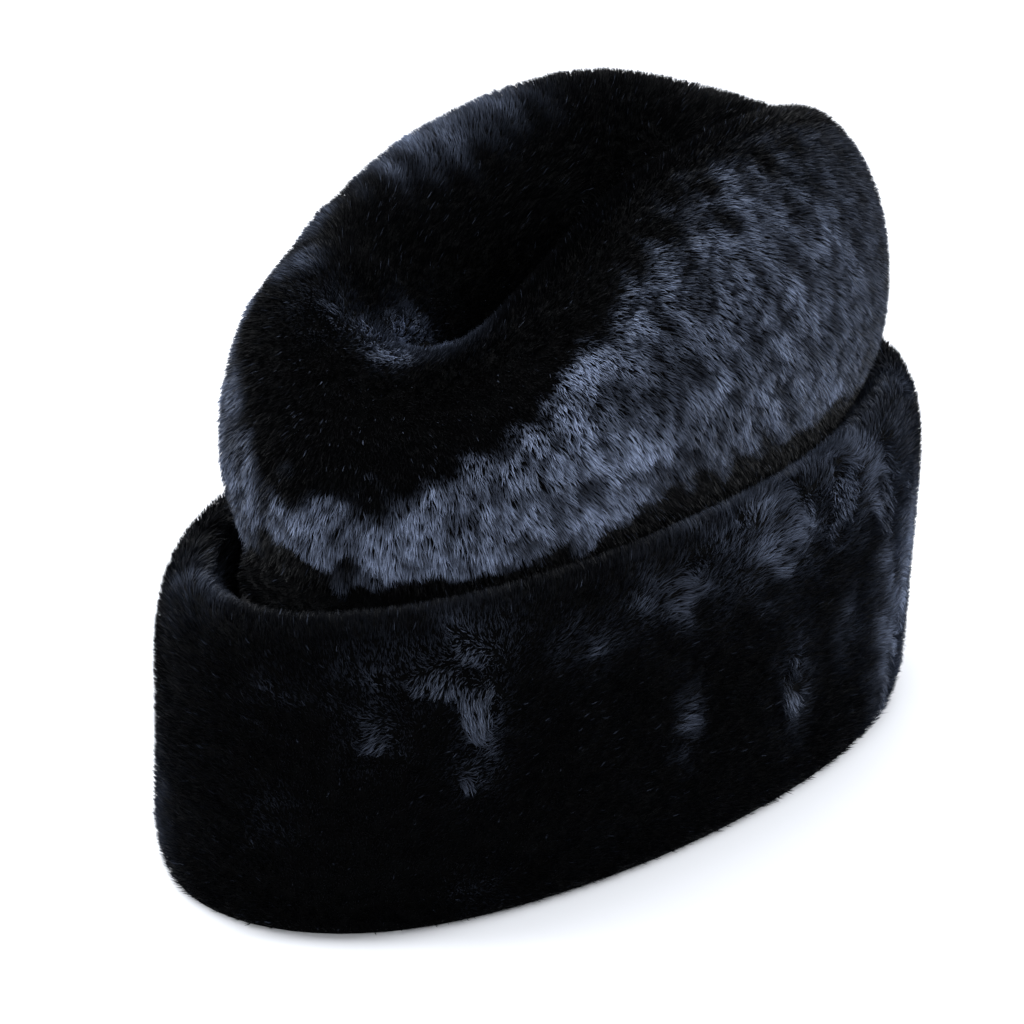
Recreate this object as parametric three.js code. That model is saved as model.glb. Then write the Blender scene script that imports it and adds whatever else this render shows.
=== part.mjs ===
// A soft black fur hat: a tall turned-up cuff stands round a crown that is pushed in along its top.
// Millimetres, Z up, the front towards -Y, the lower edge standing on Z = 0.
import * as THREE from "three";

// The head opening, measured inside the cloth at the lower edge.
const openingLength = 232;
const openingWidth = 104;
const squareness = 2.1;

// Thicknesses, and the space left between pieces.
const cloth = 3;
const pile = 11;
const cuffPad = 7;
const gap = 0.3;

// The cuff.
const cuffHeight = 94;
const cuffSwell = 5;
const cuffFlare = 8;
const seamAngle = 90;
const seamDepth = 2.5;
const seamWidth = 9;

// The crown, measured over its pile.
const crownHeight = 186;
const crownLength = 238;
const crownWidth = 130;
const crownBack = 5;
const edgeLift = 1;
const tuckHeight = 62;
const neckInset = 2.5;

// The dent along the top of the crown.
const dentLength = 118;
const dentDepth = 66;
const dentBack = 8;

// Locks of the pile: how far the tips of long and short locks stand out, their roots lie in and the tips lean.
const lockLift = 1.5;
const shortLockLift = 0.45;
const rootDrop = 0.9;
const lockLean = 3.5;

// How finely the surfaces are cut up.
const columns = 48;
const wallRows = 4;
const crownRows = 19;
const cuffRows = 16;

// A row for every 30 degrees round the hat, from the left side through the back.
// crest: height of the crown's ridge, share of crownHeight
// lean: how far the ridge leans in over the dent, a power of its reach
// spread: how far the crown bulges out, share of its half width and half length
// neck: height at which the crown comes out of the cuff, share of cuffHeight
// rim: height of the cuff's top, share of cuffHeight
// swell: how far the cuff stands out more than at the right side, share of cuffSwell
// flare: how far the cuff's top stands out more than its foot, share of cuffFlare
const around = [
  { place: "left side", crest: 0.94, lean: 1.9, spread: 1.0, neck: 0.9, rim: 1.0, swell: 0.0, flare: 0.0 },
  { place: "left, to the back", crest: 0.98, lean: 1.8, spread: 1.0, neck: 0.92, rim: 1.02, swell: 0.2, flare: 0.3 },
  { place: "back left", crest: 0.975, lean: 1.4, spread: 1.01, neck: 0.95, rim: 1.06, swell: 0.1, flare: 0.8 },
  { place: "back", crest: 0.93, lean: 1.1, spread: 1.02, neck: 0.97, rim: 1.09, swell: 0.2, flare: 1.0 },
  { place: "back right", crest: 0.96, lean: 1.0, spread: 1.02, neck: 0.95, rim: 1.07, swell: 0.0, flare: 0.5 },
  { place: "right, to the back", crest: 1.02, lean: 1.0, spread: 1.0, neck: 0.92, rim: 1.02, swell: 0.0, flare: 0.0 },
  { place: "right side", crest: 1.0, lean: 1.0, spread: 1.0, neck: 0.9, rim: 1.0, swell: 0.0, flare: 0.0 },
  { place: "right, to the front", crest: 0.94, lean: 1.0, spread: 1.0, neck: 0.88, rim: 0.97, swell: 0.0, flare: 0.0 },
  { place: "front right", crest: 0.89, lean: 1.1, spread: 1.0, neck: 0.86, rim: 0.94, swell: 0.2, flare: -0.2 },
  { place: "front", crest: 0.81, lean: 1.2, spread: 0.99, neck: 0.85, rim: 0.92, swell: 0.4, flare: -0.4 },
  { place: "front left", crest: 0.77, lean: 1.4, spread: 0.98, neck: 0.86, rim: 0.94, swell: 0.2, flare: -0.4 },
  { place: "left, to the front", crest: 0.83, lean: 1.7, spread: 1.0, neck: 0.88, rim: 0.97, swell: 0.0, flare: 0.0 },
];

// A row for each section of the crown, from where it leaves the cuff to the bottom of the dent.
// reach: distance from the line of the dent, share of the way out to the crown's outline
// rise: height, from 0 at the neck to 1 at the ridge, and on to 2 at the bottom of the dent
// fur: depth of the pile, share of pile
const crownSections = [
  { place: "neck", reach: 0.85, rise: 0.0, fur: 0.35 },
  { place: "under the overhang", reach: 0.86, rise: 0.09, fur: 0.65 },
  { place: "overhang", reach: 0.96, rise: 0.2, fur: 1 },
  { place: "fullest", reach: 1.0, rise: 0.37, fur: 1 },
  { place: "side", reach: 0.985, rise: 0.56, fur: 1 },
  { place: "shoulder", reach: 0.93, rise: 0.75, fur: 1 },
  { place: "outer slope", reach: 0.81, rise: 0.92, fur: 1 },
  { place: "ridge", reach: 0.65, rise: 1.0, fur: 1 },
  { place: "inner shoulder", reach: 0.47, rise: 1.08, fur: 1 },
  { place: "inner slope", reach: 0.3, rise: 1.32, fur: 1 },
  { place: "foot of the slope", reach: 0.14, rise: 1.68, fur: 1 },
  { place: "bottom", reach: 0.0, rise: 2, fur: 1 },
];

// A row for each quarter of the dent, front to back.
// floor: height of its bottom above the deepest point, share of dentDepth
// aside: how far it strays to the left, share of dentLength
const dentLine = [
  { along: "front end", floor: 0.0, aside: -0.02 },
  { along: "front half", floor: -0.02, aside: -0.05 },
  { along: "middle", floor: 0.0, aside: -0.07 },
  { along: "back half", floor: 0.12, aside: -0.08 },
  { along: "back end", floor: 0.4, aside: -0.06 },
];

// A row for each fold pressed into the crown.
// angle, width: its place round the hat and its half width, in degrees
// from, to: the sections of the crown that it runs between, counted in crownSections
// depth: share of pile
const crownFolds = [
  { fold: "between the front and right lobes", angle: 222, width: 13, from: 4, to: 11, depth: 0.9 },
  { fold: "between the front and left lobes", angle: 312, width: 13, from: 7, to: 11, depth: 0.4 },
  { fold: "crease in the nose", angle: 262, width: 7, from: 0, to: 5, depth: 0.5 },
  { fold: "dip at the back", angle: 92, width: 14, from: 6, to: 11, depth: 0.4 },
];

// A row for each section of the cuff's pile, from the floor up its outer face, over the top and down inside.
// inset: from the outer face, share of the cuff's whole thickness
// height: share of the rim's height
const cuffSections = [
  { place: "floor", inset: 0.16, height: 0 },
  { place: "lower edge", inset: 0.03, height: 0.07 },
  { place: "lower bulge", inset: 0.0, height: 0.19 },
  { place: "waist", inset: 0.06, height: 0.44 },
  { place: "upper bulge", inset: 0.02, height: 0.68 },
  { place: "outer shoulder", inset: 0.09, height: 0.86 },
  { place: "outer half of the top", inset: 0.28, height: 0.97 },
  { place: "top", inset: 0.55, height: 1.0 },
  { place: "inner half of the top", inset: 0.83, height: 0.965 },
  { place: "inside", inset: 1.04, height: 0.89 },
];

// A row for each corner of the cuff's pad, from its inner lower edge round to its inner shoulder.
// inset: from its outer face, share of its thickness
// height: share of its own height
const padSections = [
  { place: "inner lower edge", inset: 1, height: 0 },
  { place: "outer lower edge", inset: 0.12, height: 0 },
  { place: "lower bulge", inset: 0.0, height: 0.16 },
  { place: "waist", inset: 0.12, height: 0.48 },
  { place: "upper bulge", inset: 0.04, height: 0.74 },
  { place: "outer shoulder", inset: 0.14, height: 0.91 },
  { place: "top", inset: 0.45, height: 1 },
  { place: "inner half of the top", inset: 0.8, height: 0.97 },
  { place: "inner shoulder", inset: 1, height: 0.87 },
];

const black = new THREE.Color(0x0b0b0d);
const clothBlack = new THREE.Color(0x141416);

const halfLength = openingLength / 2;
const halfWidth = openingWidth / 2;
const padInner = cloth + gap;
const cuffThickness = cuffPad + gap + pile;

// A smooth curve through evenly spaced values: reads between the middle two of four.
function smooth(before, first, second, after, share) {
  const slope = (second - before) / 2;
  const nextSlope = (after - first) / 2;
  const cube = 2 * first - 2 * second + slope + nextSlope;
  const square = -3 * first + 3 * second - 2 * slope - nextSlope;
  return ((cube * share + square) * share + slope) * share + first;
}

// Reads a column of a table at a fractional row. A closed table runs on from its last row to its first.
function read(table, column, row, closed = false) {
  const last = table.length - 1;
  const first = closed ? Math.floor(row) : Math.min(Math.floor(row), last - 1);
  const wrap = (k) => THREE.MathUtils.euclideanModulo(k, table.length);
  const at = (k) => table[closed ? wrap(k) : THREE.MathUtils.clamp(k, 0, last)][column];
  return smooth(at(first - 1), at(first), at(first + 1), at(first + 2), row - first);
}

// Reads the table of places at an angle in degrees.
const placed = (column, angle) => read(around, column, (angle / 360) * around.length, true);

// 1 at the middle of a bump and 0 past its half width.
function bump(distance, halfWide) {
  const share = Math.min(Math.abs(distance) / halfWide, 1);
  return (1 + Math.cos(Math.PI * share)) / 2;
}

// The smaller turn between two angles in degrees.
const turn = (angle, other) => THREE.MathUtils.euclideanModulo(angle - other + 180, 360) - 180;

// A point on an oval with the hat's squareness, seen from above.
function oval(angle, halfWide, halfLong) {
  const t = THREE.MathUtils.degToRad(angle);
  const cos = Math.cos(t);
  const sin = Math.sin(t);
  const scale = (Math.abs(cos) ** squareness + Math.abs(sin) ** squareness) ** (-1 / squareness);
  return new THREE.Vector2(halfWide * cos * scale, halfLong * sin * scale);
}

// A point at a distance outside the head opening, measured square to its outline.
function outside(angle, out, height) {
  const point = oval(angle, halfWidth, halfLength);
  const steep = (value, half) => (Math.sign(value) * (Math.abs(value) / half) ** (squareness - 1)) / half;
  const away = new THREE.Vector2(steep(point.x, halfWidth), steep(point.y, halfLength)).normalize();
  return new THREE.Vector3(point.x + away.x * out, point.y + away.y * out, height);
}

// The point of the dent's line that a column of the crown runs down to.
function dentPoint(angle) {
  const along = Math.sin(THREE.MathUtils.degToRad(angle));
  const row = ((along + 1) / 2) * (dentLine.length - 1);
  const floor = read(dentLine, "floor", row) * dentDepth;
  return new THREE.Vector3(
    read(dentLine, "aside", row) * dentLength,
    crownBack + dentBack + (along * dentLength) / 2,
    crownHeight - dentDepth + floor,
  );
}

// How far the folds press the crown in at an angle and a fractional section.
function foldDepth(angle, section) {
  return crownFolds.reduce((sum, row) => {
    const middle = (row.from + row.to) / 2;
    const run = bump(section - middle, (row.to - row.from) / 2);
    return sum + row.depth * pile * run * bump(turn(angle, row.angle), row.width);
  }, 0);
}

// A point of the crown's outer form at an angle and a fractional section.
// Its neck lies inside the cuff, at one distance from it all round.
function crownPoint(angle, section) {
  const spread = placed("spread", angle);
  const edge = oval(angle, (crownWidth / 2) * spread, (crownLength / 2) * spread);
  const dent = dentPoint(angle);
  const rise = read(crownSections, "rise", section);
  const lean = 1 + (placed("lean", angle) - 1) * THREE.MathUtils.smoothstep(rise, 0.5, 1);
  const reach = Math.max(read(crownSections, "reach", section), 0) ** lean;
  const neck = placed("neck", angle) * cuffHeight;
  const ridge = placed("crest", angle) * crownHeight;
  const height = rise <= 1 ? neck + (ridge - neck) * rise : ridge + (dent.z - ridge) * (rise - 1);
  const shown = new THREE.Vector3(
    dent.x + (edge.x - dent.x) * reach,
    dent.y + (crownBack + edge.y - dent.y) * reach,
    height,
  );
  return outside(angle, padInner - neckInset, neck).lerp(shown, Math.min(section, 1));
}

// The crown's outer form with its folds pressed in.
function foldedPoint(angle, section) {
  const aroundStep = 0.5;
  const sectionStep = 0.05;
  const point = crownPoint(angle, section);
  const sideways = crownPoint(angle + aroundStep, section).sub(crownPoint(angle - aroundStep, section));
  const upwards = crownPoint(angle, section + sectionStep).sub(crownPoint(angle, section - sectionStep));
  const outwards = sideways.cross(upwards).normalize();
  return point.addScaledVector(outwards, -foldDepth(angle, section));
}

// How much thicker the cuff stands at an angle and a share of its height, with the dent of its seam at the back.
function cuffSpread(angle, height) {
  const seam = seamDepth * bump(turn(angle, seamAngle), seamWidth);
  return placed("swell", angle) * cuffSwell + placed("flare", angle) * cuffFlare * (height - 0.5) - seam;
}

// A mesh grown point by point. Points closer than weld are one point.
const weld = 1e-4;

class Surface {
  constructor() {
    this.points = [];
    this.faces = [];
  }

  add(point) {
    const known = this.points.findIndex((other) => other.distanceTo(point) < weld);
    return known >= 0 ? known : this.points.push(point) - 1;
  }

  // Joins two rings of points, and leaves out the triangles that a shrunk ring flattens.
  join(ring, next) {
    ring.forEach((a, c) => {
      const b = ring[(c + 1) % ring.length];
      const d = next[c];
      const e = next[(c + 1) % ring.length];
      [[a, b, e], [a, e, d]].forEach((face) => {
        if (new Set(face).size === face.length) this.faces.push(face);
      });
    });
  }

  normals() {
    const sums = this.points.map(() => new THREE.Vector3());
    const triangle = new THREE.Triangle();
    const normal = new THREE.Vector3();
    this.faces.forEach((face) => {
      triangle.set(...face.map((i) => this.points[i]));
      triangle.getNormal(normal).multiplyScalar(triangle.getArea());
      face.forEach((i) => sums[i].add(normal));
    });
    return sums.map((sum) => sum.normalize());
  }
}

// A surface through rings of points, with the points and normals ring by ring. A closed one is a tube.
function formOf(rings, closed) {
  const surface = new Surface();
  const indices = rings.map((ring) => ring.map((point) => surface.add(point)));
  indices.slice(1).forEach((next, r) => surface.join(indices[r], next));
  if (closed) surface.join(indices.at(-1), indices[0]);
  const normals = surface.normals();
  return {
    surface,
    points: indices.map((ring) => ring.map((index) => surface.points[index])),
    normals: indices.map((ring) => ring.map((index) => normals[index])),
  };
}

const angles = Array.from({ length: columns }, (_, c) => (c * 360) / columns);
const ringOf = (pointAt) => angles.map(pointAt);

// The rings of the crown's outer form, from its lower edge inside the cuff to the line of the dent.
function crownRings() {
  const hidden = Array.from({ length: wallRows }, (_, r) => {
    const height = THREE.MathUtils.lerp(edgeLift, tuckHeight, r / (wallRows - 1));
    return { fur: 0, points: ringOf((angle) => outside(angle, padInner, height)) };
  });
  const shown = Array.from({ length: crownRows + 1 }, (_, r) => {
    const section = (r / crownRows) * (crownSections.length - 1);
    const fur = read(crownSections, "fur", section) * pile;
    return { fur, points: ringOf((angle) => foldedPoint(angle, section)) };
  });
  return [...hidden, ...shown];
}

// A point of a ring moved out along its normal and leaned towards the ring before it.
// It is a lock's tip or root, so that the pile falls into locks.
function locked({ points, normals }, r, c) {
  const tip = r % 2;
  const long = (c + Math.floor(r / 2)) % 2;
  const tipLift = long ? lockLift : shortLockLift;
  const lift = tip ? tipLift : -rootDrop;
  const lean = points[r - 1][c].clone().sub(points[r][c]).setLength(tip * long * lockLean);
  return points[r][c].clone().add(lean).addScaledVector(normals[r][c], lift);
}

// The rings of a form from one to another, those well between them moved into locks.
function lockedRings(form, first, last) {
  return form.points.slice(first, last + 1).map((ring, k) => {
    const r = first + k;
    return ring.map((point, c) => (k > 1 && r < last ? locked(form, r, c) : point));
  });
}

const rows = crownRings();
const crownForm = formOf(rows.map((row) => row.points), false);

// The crown's rings from one on, set below its outer form by the pile there and more.
function crownBelow(first, more) {
  return crownForm.points.slice(first).map((ring, k) => {
    const depth = rows[first + k].fur + more;
    return ring.map((point, c) => point.clone().addScaledVector(crownForm.normals[first + k][c], -depth));
  });
}

// The crown's cloth: down inside, round the lower edge and up outside.
function crownShape() {
  return formOf([...crownBelow(0, gap + cloth).reverse(), ...crownBelow(0, gap)], false);
}

function crownFurShape() {
  const outer = lockedRings(crownForm, wallRows, rows.length - 1);
  return formOf([...crownBelow(wallRows, 0).reverse(), ...outer], false);
}

const rimHeight = (angle) => placed("rim", angle) * cuffHeight;

// A corner of the cuff's pad, pushed out of it by a distance. The floor keeps its height.
function padPoint(angle, k, push) {
  const height = rimHeight(angle) - gap - pile;
  const width = (row) => cuffPad + cuffSpread(angle, row.height);
  const corner = (row) => new THREE.Vector2(padInner + width(row) * (1 - row.inset), height * row.height);
  const [before, here, after] = [k - 1, k, k + 1].map((i) => corner(padSections.at(i % padSections.length)));
  const along = after.sub(before).normalize();
  const onFloor = padSections[k].height === 0;
  const away = onFloor ? new THREE.Vector2(1, 0) : new THREE.Vector2(along.y, -along.x);
  here.addScaledVector(away, push);
  return outside(angle, here.x, here.y);
}

function cuffShape() {
  return formOf(padSections.map((_, k) => ringOf((angle) => padPoint(angle, k, 0))), true);
}

// A point of the cuff's outer form at an angle and a fractional section.
function cuffPoint(angle, section) {
  const height = read(cuffSections, "height", section);
  const width = cuffThickness + cuffSpread(angle, height);
  const out = padInner + width * (1 - read(cuffSections, "inset", section));
  return outside(angle, out, rimHeight(angle) * height);
}

function cuffFurShape() {
  const step = (cuffSections.length - 1) / cuffRows;
  const outer = Array.from({ length: cuffRows + 1 }, (_, r) => ringOf((angle) => cuffPoint(angle, r * step)));
  const inner = padSections.slice(1).map((_, k) => ringOf((angle) => padPoint(angle, k + 1, gap)));
  const plain = formOf([...outer, ...inner.reverse()], true);
  return formOf([...lockedRings(plain, 0, cuffRows), ...plain.points.slice(cuffRows + 1)], true);
}

function meshOf(name, form, material) {
  const geometry = new THREE.BufferGeometry().setFromPoints(form.surface.points);
  geometry.setIndex(form.surface.faces.flat());
  geometry.computeVertexNormals();
  const mesh = new THREE.Mesh(geometry, material);
  mesh.name = name;
  return mesh;
}

const clothMaterial = new THREE.MeshStandardMaterial({ color: clothBlack, roughness: 0.9 });
const furMaterial = new THREE.MeshStandardMaterial({ color: black, roughness: 0.6 });

const hat = new THREE.Group();
hat.add(
  meshOf("crown", crownShape(), clothMaterial),
  meshOf("crown_fur", crownFurShape(), furMaterial),
  meshOf("cuff", cuffShape(), clothMaterial),
  meshOf("cuff_fur", cuffFurShape(), furMaterial),
);

// The origin is the middle of the hat's foot.
const middle = new THREE.Box3().setFromObject(hat).getCenter(new THREE.Vector3());
hat.position.set(-middle.x, -middle.y, 0);

export default hat;
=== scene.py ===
"""Blender looks of a soft black fur hat: a turned-up cuff all round and a crown dented along its top."""

import logging
import math
from dataclasses import dataclass
from enum import Enum
from typing import Any, Iterable

import bmesh
import bpy
import numpy as np
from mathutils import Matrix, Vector
from mathutils.bvhtree import BVHTree
from mathutils.kdtree import KDTree

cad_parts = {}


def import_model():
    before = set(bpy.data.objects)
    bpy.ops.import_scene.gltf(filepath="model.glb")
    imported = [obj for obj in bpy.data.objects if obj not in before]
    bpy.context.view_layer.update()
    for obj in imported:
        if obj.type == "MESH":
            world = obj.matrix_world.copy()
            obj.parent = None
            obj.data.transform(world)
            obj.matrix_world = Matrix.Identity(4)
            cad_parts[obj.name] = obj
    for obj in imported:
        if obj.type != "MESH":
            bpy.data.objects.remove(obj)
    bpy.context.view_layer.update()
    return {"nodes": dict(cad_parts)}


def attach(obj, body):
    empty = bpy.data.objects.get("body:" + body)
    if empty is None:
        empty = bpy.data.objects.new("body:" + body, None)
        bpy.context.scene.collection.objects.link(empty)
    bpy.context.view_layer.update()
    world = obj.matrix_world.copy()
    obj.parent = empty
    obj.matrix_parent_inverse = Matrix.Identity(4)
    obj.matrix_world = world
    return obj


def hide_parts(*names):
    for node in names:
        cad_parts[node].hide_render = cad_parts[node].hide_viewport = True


log = logging.getLogger("hat")

MM = 0.001
SEED = 20


class Slot(Enum):
    """The material slots of the record."""

    CLOTH = "cloth"
    FUR = "fur"


class Coat(Enum):
    """The two coats of pile, each named by the CAD nodes of its cloth and its pile."""

    CROWN = ("crown", "crown_fur")
    CUFF = ("cuff", "cuff_fur")


class Value:
    """A number on a socket. Arithmetic with it adds Math nodes."""

    def __init__(self, shader: "Shader", socket: bpy.types.NodeSocket) -> None:
        """Wraps a socket of a shader."""
        self.shader = shader
        self.socket = socket

    def _math(self, operation: str, first: Any, second: Any) -> "Value":
        """Adds a Math node and gives its result."""
        node = self.shader.node("ShaderNodeMath", {"operation": operation}, {0: first, 1: second})
        return Value(self.shader, node.outputs[0])

    def __add__(self, other: Any) -> "Value":
        """This plus other."""
        return self._math("ADD", self, other)

    def __mul__(self, other: Any) -> "Value":
        """This times other."""
        return self._math("MULTIPLY", self, other)

    def __pow__(self, other: Any) -> "Value":
        """This to the power of other."""
        return self._math("POWER", self, other)


class Shader:
    """A material that is built up from nodes round one Principled shader."""

    def __init__(self, name: str, settings: dict[str, Any]) -> None:
        """Makes the material.

        Args:
            name: The material's name.
            settings: Values for sockets of the Principled shader that are the same all over.
        """
        self.material = bpy.data.materials.new(name)
        self.material.use_nodes = True
        self.tree = self.material.node_tree
        self.surface = self.tree.nodes["Principled BSDF"]
        self.feed(self.surface, settings)

    def feed(self, node: bpy.types.Node, inputs: dict[Any, Any]) -> None:
        """Sets or links the inputs of a node.

        Args:
            node: The node.
            inputs: A value, socket or Value for each input's name or number.
        """
        for key, value in inputs.items():
            source = value.socket if isinstance(value, Value) else value
            if isinstance(source, bpy.types.NodeSocket):
                self.tree.links.new(source, node.inputs[key])
            else:
                node.inputs[key].default_value = source

    def node(self, kind: str, settings: dict[str, Any], inputs: dict[Any, Any]) -> bpy.types.Node:
        """Adds a node.

        Args:
            kind: The node's type.
            settings: Its settings, set first.
            inputs: A value or link for each input's name or number.

        Returns:
            The node.
        """
        node = self.tree.nodes.new(kind)
        for key, value in settings.items():
            setattr(node, key, value)
        self.feed(node, inputs)
        return node

    def noise(self, size: float, detail: float = 2.0) -> Value:
        """Noise over the object.

        Args:
            size: The size of its largest spots in metres.
            detail: Its detail.

        Returns:
            The noise, from 0 to 1.
        """
        place = self.node("ShaderNodeTexCoord", {}, {}).outputs["Object"]
        inputs = {"Vector": place, "Scale": 1 / size, "Detail": detail}
        return Value(self, self.node("ShaderNodeTexNoise", {}, inputs).outputs["Fac"])

    def ramp(self, factor: Value, low: float, high: float) -> Value:
        """A value that runs from 0 to 1 while factor runs from low to high."""
        settings = {"interpolation_type": "SMOOTHSTEP"}
        inputs = {"Value": factor, "From Min": low, "From Max": high}
        return Value(self, self.node("ShaderNodeMapRange", settings, inputs).outputs["Result"])

    def mix(self, factor: Any, first: Any, second: Any) -> bpy.types.NodeSocket:
        """A colour between two colours."""
        inputs = {0: factor, 6: self._colour(first), 7: self._colour(second)}
        return self.node("ShaderNodeMix", {"data_type": "RGBA"}, inputs).outputs[2]

    @staticmethod
    def _colour(value: Any) -> Any:
        """A colour with its alpha, or the socket that gives one."""
        return value if isinstance(value, bpy.types.NodeSocket) else (*value, 1.0)

    def bump(self, height: Value, depth: float, strength: float) -> None:
        """Raises the surface by height times depth, in metres."""
        inputs = {"Height": height, "Distance": depth, "Strength": strength}
        self.feed(self.surface, {"Normal": self.node("ShaderNodeBump", {}, inputs).outputs["Normal"]})


@dataclass(frozen=True)
class PileFinish:
    """The fibres' colour: near black, with a painted cool grey sheen and painted shade towards the root.

    Each pair holds the least value, and what chance or the place along the fibre adds to it.
    """

    name: str = "black pile"
    # deep is painted shade deep in the pile: the root's colour, darker than body, which it turns into along
    # the fibre.
    deep: tuple[float, float, float] = (0.0003, 0.0003, 0.0004)
    body: tuple[float, float, float] = (0.0013, 0.0014, 0.0018)
    # The colour of the painted sheen, a painted highlight mixed into the fibres' colour.
    painted_sheen_colour: tuple[float, float, float] = (0.3750, 0.4510, 0.6520)
    # How far along the fibre the painted shade of the root reaches.
    root_shade_reach: float = 0.8
    # The painted sheen is uneven from fibre to fibre and brighter towards the tip.
    by_chance: tuple[float, float] = (0.30, 0.50)
    by_place: tuple[float, float] = (0.20, 0.80)
    tipped: float = 1.5
    rough: tuple[float, float] = (0.37, 0.16)
    specular: float = 0.05

    def material(self) -> bpy.types.Material:
        """Builds the material. The attribute strand holds place along a fibre, chance and painted sheen."""
        shader = Shader(self.name, {"Specular IOR Level": self.specular, "IOR": 1.5})
        strand = shader.node("ShaderNodeAttribute", {"attribute_name": "strand"}, {}).outputs["Color"]
        parts = shader.node("ShaderNodeSeparateColor", {}, {"Color": strand}).outputs
        along, chance, sheen = (Value(shader, parts[key]) for key in ("Red", "Green", "Blue"))
        # Painted shade: each fibre is darker towards its root.
        dark = shader.mix(shader.ramp(along, 0.0, self.root_shade_reach), self.deep, self.body)
        # Painted highlight: the painted sheen mixes a lighter colour into the fibres.
        light = sheen * (chance * self.by_chance[1] + self.by_chance[0])
        light = light * (along ** self.tipped * self.by_place[1] + self.by_place[0])
        tone = shader.mix(light, dark, self.painted_sheen_colour)
        rough = chance * self.rough[1] + self.rough[0]
        shader.feed(shader.surface, {"Base Color": tone, "Roughness": rough})
        return shader.material


@dataclass(frozen=True)
class GroundFinish:
    """The finish of the short dense fibres that the long ones stand in."""

    name: str = "black undercoat"
    deep: tuple[float, float, float] = (0.0003, 0.0003, 0.0004)
    body: tuple[float, float, float] = (0.0008, 0.0009, 0.0011)
    fibre: float = 0.7 * MM
    tuft: float = 5 * MM
    edges: tuple[float, float] = (0.35, 0.7)
    rough: tuple[float, float] = (0.7, 0.2)
    relief: float = 2 * MM
    relief_strength: float = 0.8
    tuft_share: float = 0.6
    specular: float = 0.03

    def material(self) -> bpy.types.Material:
        """Builds the material."""
        shader = Shader(self.name, {"Specular IOR Level": self.specular})
        tuft = shader.noise(self.tuft, 4.0)
        fibre = shader.noise(self.fibre, 2.0)
        tone = shader.mix(shader.ramp(tuft, *self.edges), self.deep, self.body)
        shader.feed(shader.surface, {"Base Color": tone, "Roughness": fibre * self.rough[1] + self.rough[0]})
        height = tuft * self.tuft_share + fibre * (1 - self.tuft_share)
        shader.bump(height, self.relief, self.relief_strength)
        return shader.material


@dataclass(frozen=True)
class BackingFinish:
    """The finish of the knitted backing: fine ribs of slanted stitches."""

    name: str = "knitted backing"
    yarn: tuple[float, float, float] = (0.016, 0.016, 0.018)
    between: tuple[float, float, float] = (0.004, 0.004, 0.005)
    rib: float = 1.5 * MM
    course: float = 1.1 * MM
    slant: float = 0.35
    round_rib: float = 0.6
    loop_share: float = 0.6
    fuzz: float = 0.5 * MM
    wear: float = 30 * MM
    rough: tuple[float, float] = (0.82, 0.12)
    relief: float = 0.35 * MM
    relief_strength: float = 0.9
    stitch_share: float = 0.8
    specular: float = 0.3

    def material(self) -> bpy.types.Material:
        """Builds the material. The UV map knit holds metres round and up the cloth."""
        shader = Shader(self.name, {"Specular IOR Level": self.specular})
        knit = shader.node("ShaderNodeUVMap", {"uv_map": "knit"}, {}).outputs["UV"]
        parts = shader.node("ShaderNodeSeparateXYZ", {}, {0: knit}).outputs
        across, up = Value(shader, parts["X"]), Value(shader, parts["Y"])
        turn = 2 * math.pi
        rib = self.wave(shader, across * (turn / self.rib))
        lean = rib * (self.slant * turn)
        loop = self.wave(shader, up * (turn / self.course) + lean)
        stitch = (rib ** self.round_rib) * (loop * self.loop_share + (1 - self.loop_share))
        fuzz = shader.noise(self.fuzz, 2.0)
        wear = shader.ramp(shader.noise(self.wear, 3.0), 0.35, 0.7)
        tone = shader.mix(stitch * (fuzz * 0.5 + 0.6), self.between, self.yarn)
        shader.feed(shader.surface, {"Base Color": tone, "Roughness": wear * self.rough[1] + self.rough[0]})
        height = stitch * self.stitch_share + fuzz * (1 - self.stitch_share)
        shader.bump(height, self.relief, self.relief_strength)
        return shader.material

    @staticmethod
    def wave(shader: Shader, phase: Value) -> Value:
        """A wave from 0 to 1 of a phase in radians."""
        node = shader.node("ShaderNodeMath", {"operation": "SINE"}, {0: phase})
        return Value(shader, node.outputs[0]) * 0.5 + 0.5


def unit(vectors: np.ndarray) -> np.ndarray:
    """The vectors of an array's last axis, made one long."""
    return vectors / np.maximum(np.linalg.norm(vectors, axis=-1, keepdims=True), 1e-12)


def ease(values: np.ndarray, low: float, high: float) -> np.ndarray:
    """0 below low and 1 above high, with a smooth step between."""
    share = np.clip((values - low) / (high - low), 0, 1)
    return share * share * (3 - 2 * share)


def blended(pair: tuple[float, float], share: np.ndarray) -> np.ndarray:
    """Values between the two of a pair, by a share from 0 to 1."""
    return pair[0] + (pair[1] - pair[0]) * share


@dataclass(frozen=True)
class Drift:
    """A smooth wandering field over space, mostly from -1 to 1, as a sum of waves."""

    size: float
    seed: int
    waves: int = 14
    pace: tuple[float, float] = (0.6, 1.7)
    strength: float = 0.5

    def at(self, points: np.ndarray) -> np.ndarray:
        """The field's three values at each point.

        Args:
            points: The points, in metres.

        Returns:
            An array of the same shape.
        """
        rng = np.random.default_rng(self.seed)
        total = np.zeros_like(points)
        for _ in range(self.waves):
            heading = unit(rng.normal(size=3)) * rng.uniform(*self.pace)
            phase = rng.uniform(0, 2 * math.pi, 3)
            travel = points @ heading * (2 * math.pi / self.size)
            total += np.sin(travel[:, None] + phase)
        return total * math.sqrt(2 / self.waves) * self.strength


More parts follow.
